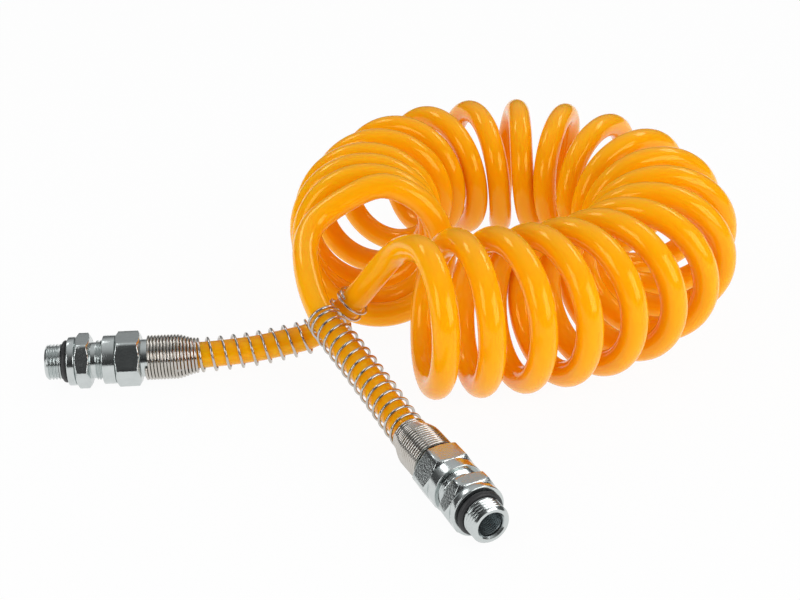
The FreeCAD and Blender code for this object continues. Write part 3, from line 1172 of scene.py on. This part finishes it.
    def seal(self) -> bpy.types.Object:
        """Makes the seal ring: a circle carried round, with a faint moulding line outside.

        The line is a bell curve of the angle round the circle, about its outermost point.

        Returns:
            The piece.
        """
        s = self.sizes
        turn = np.linspace(0.0, FULL_TURN, self.seal_rows)
        half = s.seal_section / 2
        away = np.minimum(turn, FULL_TURN - turn) / s.seal_flash_width
        flash = s.seal_flash * np.exp(-(away**2))
        middle = s.seal_groove / 2 + half
        rows = [
            Row(s.stud_length - half - half * math.sin(t), middle + (half + f) * math.cos(t))
            for t, f in zip(turn, flash)
        ]
        return self.dressed("seal_ring", "moulded", rows, self.place.stud, Slot.RUBBER)

    def dressed(
        self, node: str, made: str, rows: Sequence[Row], body: Body, slot: Slot = Slot.ZINC
    ) -> bpy.types.Object:
        """Makes a piece that stands for a CAD node.

        Args:
            node: The CAD node, without the fitting's name.
            made: How it is made, the last word of the piece's name.
            rows: Its profile.
            body: The body that it rides on.
            slot: Its material slot in the record.

        Returns:
            The piece.
        """
        node = self.place.name + "_" + node
        piece = self.profile(node + "_" + made, rows)
        if slot is Slot.ZINC:
            piece.data.set_sharp_from_angle(angle=math.radians(self.sharp_edge))
        piece.data.materials.append(self.finishes[slot])
        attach(piece, body.value)
        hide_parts(node)
        return piece


# Studio


@dataclass(frozen=True)
class Softbox:
    """A rectangular light that looks at the middle of the picture."""

    name: str
    azimuth: float
    elevation: float
    distance: float
    width: float
    height: float
    power: float

    def build(self) -> None:
        """Adds the light, turned from the front by its azimuth and raised by its elevation."""
        data = bpy.data.lights.new(self.name, "AREA")
        data.shape = "RECTANGLE"
        data.size = self.width
        data.size_y = self.height
        data.energy = self.power
        light = add_object(self.name, data)
        turn = math.radians(self.azimuth)
        rise = math.radians(self.elevation)
        level = math.cos(rise)
        way = Vector((math.sin(turn) * level, -math.cos(turn) * level, math.sin(rise)))
        light.location = way * self.distance
        light.rotation_euler = way.to_track_quat("Z", "Y").to_euler()


@dataclass(frozen=True)
class Studio:
    """The camera, a white light table, four softboxes and the room."""

    focal_px: float = 1333.0
    picture_width: float = 800.0
    sensor: float = 36.0
    elevation: float = 27.05
    distance: float = 679.0
    clip_end: float = 50.0
    floor_size: float = 6.0
    floor_drop: float = 0.2
    floor_color: tuple[float, ...] = (0.88, 0.88, 0.88, 1.0)
    floor_glow: float = 0.75
    floor_glow_seen: float = 0.2
    floor_roughness: float = 0.7
    floor_gloss: float = 0.1
    grey_tint: Color = (1.0, 1.02, 1.03)
    gloss_greys: tuple[float, ...] = (0.02, 0.06, 0.08, 0.34, 0.60)
    even_greys: tuple[float, ...] = (1.15, 1.05, 0.72, 0.44, 0.30)
    gloss_depth: float = 0.35
    softboxes: tuple[Softbox, ...] = (
        Softbox("right_front", 50.0, 26.0, 1.1, 0.76, 0.62, 4.2),
        Softbox("left_front", -47.0, 26.0, 1.1, 0.42, 0.62, 2.4),
        Softbox("right_back", 124.0, 48.0, 1.1, 0.47, 0.25, 1.15),
        Softbox("left_back", -124.0, 48.0, 1.1, 0.35, 0.25, 0.85),
    )

    def build_camera(self) -> None:
        """Adds the camera that was fitted to the photograph."""
        data = bpy.data.cameras.new("camera")
        data.sensor_width = self.sensor
        data.lens = self.focal_px / self.picture_width * self.sensor
        data.clip_end = self.clip_end
        camera = add_object("camera", data)
        rise = math.radians(self.elevation)
        spot = np.array([0.0, -self.distance * math.cos(rise), self.distance * math.sin(rise)])
        camera.location = to_row(spot)
        camera.rotation_euler = (math.pi / 2 - rise, 0.0, 0.0)
        bpy.context.scene.camera = camera

    def build_floor(self) -> None:
        """Adds the white light table under the hose, a hair below it.

        Part of its light is its own, a little more where the camera sees it.
        """
        half = self.floor_size / 2
        mesh = bpy.data.meshes.new("floor")
        corners = [(-half, -half), (half, -half), (half, half), (-half, half)]
        places = [(x, y, -self.floor_drop * MM) for x, y in corners]
        mesh.from_pydata(places, [], [(0, 1, 2, 3)])
        floor = add_object("floor", mesh)
        tree = MaterialTree("white_table")
        tree.set(Base_Color=self.floor_color, Roughness=self.floor_roughness)
        tree.set(Specular_IOR_Level=self.floor_gloss)
        glow = tree.node("ShaderNodeEmission", inputs={"Color": WHITE, "Strength": 1.0})
        seen = tree.node("ShaderNodeLightPath", output="Is Camera Ray")
        through = tree.node("ShaderNodeLightPath", output="Is Transmission Ray")
        share = self.floor_glow + seen * self.floor_glow_seen + through * self.floor_glow_seen
        surface = Signal(tree, tree.shader.outputs[0])
        both = tree.node("ShaderNodeMixShader", inputs={0: share, 1: surface, 2: glow})
        tree.feed(tree.tree.nodes["Material Output"].inputs["Surface"], both)
        mesh.materials.append(tree.material)

    def greys(self, tree: Tree, greys: Sequence[float], place: Signal) -> Signal:
        """A colour ramp of evenly spaced greys, a touch blue.

        Args:
            tree: The tree to add it to.
            greys: The greys, from 0 to 1 along the ramp.
            place: Where on the ramp.

        Returns:
            The ramp's colour.
        """
        colors = [(*(grey * part for part in self.grey_tint), 1.0) for grey in greys]
        stops = [(index / (len(greys) - 1), color) for index, color in enumerate(colors)]
        return tree.node("ShaderNodeValToRGB", {"stops": stops}, {0: place})

    def build_world(self) -> None:
        """Adds the room: white to the eye, even to surfaces, and dark behind the camera to gloss.

        Gloss sees greys that go with height and depth, and surfaces are lit by greys that go
        with height alone, brightest at the horizon.
        """
        world = bpy.data.worlds.new("room")
        bpy.context.scene.world = world
        world.use_nodes = True
        tree = Tree(world.node_tree)
        way = tree.coordinates("Generated")
        depthwise = tree.node("ShaderNodeSeparateXYZ", inputs={0: way}, output="Y")
        upwards = tree.node("ShaderNodeSeparateXYZ", inputs={0: way}, output="Z")
        mirrored = tree.node("ShaderNodeLightPath", output="Is Glossy Ray")
        seen = tree.node("ShaderNodeLightPath", output="Is Camera Ray")
        glossed = self.greys(tree, self.gloss_greys, upwards + depthwise * self.gloss_depth)
        even = self.greys(tree, self.even_greys, upwards)
        color = tree.mixed(seen, tree.mixed(mirrored, even, glossed), WHITE[:3])
        tree.feed(world.node_tree.nodes["Background"].inputs["Color"], color)

    def build(self) -> None:
        """Adds everything and sets the plain view transform."""
        self.build_camera()
        self.build_floor()
        self.build_world()
        for softbox in self.softboxes:
            softbox.build()
        bpy.context.scene.view_settings.view_transform = "Standard"


def main() -> None:
    """Builds the hose, its springs, its fittings and the studio."""
    logging.basicConfig(level=logging.INFO)
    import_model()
    Studio().build()
    hose, course = Hose().build(HoseFinish().build())
    LOG.info("hose with %d line points", len(course.points))
    finishes = {
        Slot.SPRING: WireFinish().build(),
        Slot.ZINC: ZincFinish().build(),
        Slot.RUBBER: SEAL_RUBBER.build(),
        Slot.BRASS: BORE_SHADED_BRASS.build(),
    }
    springs = (
        (GuardSpring(LEFT, open_curls=14.4, open_pitch=6.0), course),
        (GuardSpring(FRONT, open_curls=15.5, open_pitch=5.4), Course(course.points[::-1])),
    )
    for spring, line in springs:
        wire = spring.build(line, finishes[Slot.SPRING])
        fitting = FittingBuilder(spring.place, finishes)
        pieces = [wire, fitting.stud(), fitting.nut(), fitting.thrust_ring(), fitting.seal()]
        for node in ("_cutting_ring", "_support_sleeve"):
            hidden = bpy.data.objects[spring.place.name + node]
            # The hidden rings take the brass darkened as painted shade
            for material_slot in hidden.material_slots:
                material_slot.material = finishes[Slot.BRASS]
            pieces.append(hidden)
        for piece in pieces:
            LOG.info("piece %s with %d faces", piece.name, len(piece.data.polygons))


if __name__ == "__main__":
    main()
